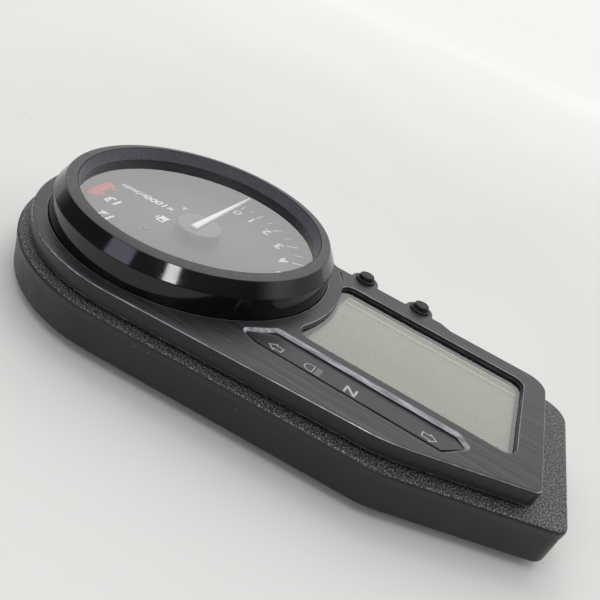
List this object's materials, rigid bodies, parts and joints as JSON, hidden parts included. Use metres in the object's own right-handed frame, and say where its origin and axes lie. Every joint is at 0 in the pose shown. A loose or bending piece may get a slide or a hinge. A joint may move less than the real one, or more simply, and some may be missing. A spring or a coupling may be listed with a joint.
{
  "type": "motorcycle instrument cluster",
  "caption": "Motorcycle instrument cluster: round tachometer with raised ring, LCD wing, indicator strip and two push buttons in a sealed case.",
  "frame": {"origin": "bottom centre of the whole cluster, lying on its back on the ends of its three mounting bosses", "axes": "+X to the cluster's right (the tachometer end), +Y to its top edge (the indicator strip side), +Z out of the dial"},
  "size_m": [0.2214, 0.126, 0.0391],
  "materials": {
    "case_plastic": "satin black, moulded",
    "flange_plastic": "black with a fine dot grain",
    "brushed_panel": "dark grey with fine brushed lines",
    "rubber": "matte black",
    "steel_zinc": "zinc plated",
    "brass": "plain",
    "ring_gloss": "piano black",
    "clear_lens": "clear acrylic, polished",
    "hood_plastic": "matte black",
    "dial_black": "printed, matte black",
    "clear_acrylic": "clear acrylic",
    "amber_lamp": "clear amber",
    "needle_white": "white",
    "smoked_plastic": "smoked black",
    "steel_bright": "ground",
    "white_plastic": "natural acetal",
    "magnet": "bonded ferrite",
    "copper": "enamelled copper winding",
    "motor_plastic": "off-white",
    "lcd_glass": "liquid crystal glass",
    "diffuser": "translucent white",
    "led": "surface-mount package",
    "smoked_lens": "smoked, with printed symbols",
    "board_green": "solder resist",
    "chip_black": "moulded package",
    "connector_plastic": "black",
    "switch_plastic": "black"
  },
  "bodies": {
    "housing": {"rear_case": "case_plastic", "cover_frame": "flange_plastic", "face_panel": "brushed_panel", "case_gasket": "rubber", "case_screws": "steel_zinc", "mount_inserts": "brass", "vent_plug": "rubber", "tach_ring": "ring_gloss", "tach_lens": "clear_lens", "tach_lens_seal": "rubber", "dial_hood": "hood_plastic", "dial_face": "dial_black", "dial_light_guide": "clear_acrylic", "fuel_lamp": "amber_lamp", "rotor_pin": "steel_bright", "motor_coils": "copper", "motor_case": "motor_plastic", "motor_cover": "motor_plastic", "lcd_pane": "clear_lens", "lcd_holder": "hood_plastic", "lcd_front_glass": "lcd_glass", "lcd_rear_glass": "lcd_glass", "lcd_diffuser": "diffuser", "lcd_contact_strip": "rubber", "backlight_leds": "led", "dial_leds": "led", "indicator_lens": "smoked_lens", "indicator_light_box": "hood_plastic", "indicator_leds": "led", "main_board": "board_green", "board_chips": "chip_black", "board_screws": "steel_zinc", "connector_housing": "connector_plastic", "connector_pins": "brass", "button_collar_left": "rubber", "switch_body_left": "switch_plastic", "button_collar_right": "rubber", "switch_body_right": "switch_plastic"},
    "needle": {"needle_pointer": "needle_white", "needle_hub": "smoked_plastic", "needle_shaft": "steel_bright", "motor_gear": "white_plastic"},
    "rotor": {"motor_rotor": "magnet"},
    "button_left": {"button_cap_left": "rubber", "switch_plunger_left": "switch_plastic"},
    "button_right": {"button_cap_right": "rubber", "switch_plunger_right": "switch_plastic"}
  },
  "joints": [
    {"name": "needle_sweep", "type": "hinge", "parent": "housing", "child": "needle", "pos_m": [0.04766, 0, 0.0255], "axis": [0, 0, -1], "range_deg": [0, 272]},
    {"name": "rotor_spin", "type": "hinge", "parent": "housing", "child": "rotor", "pos_m": [0.04766, -0.01055, 0.0255], "axis": [0, 0, -1], "range_deg": [-1088, 0]},
    {"name": "button_left_press", "type": "slide", "parent": "housing", "child": "button_left", "axis": [0, 0, -1], "range_m": [0, 0.0006], "stiffness_N_per_m": 2500},
    {"name": "button_right_press", "type": "slide", "parent": "housing", "child": "button_right", "axis": [0, 0, -1], "range_m": [0, 0.0006], "stiffness_N_per_m": 2500}
  ],
  "couplings": [
    {"joint": "rotor_spin", "follows": "needle_sweep", "ratio": -4}
  ]
}
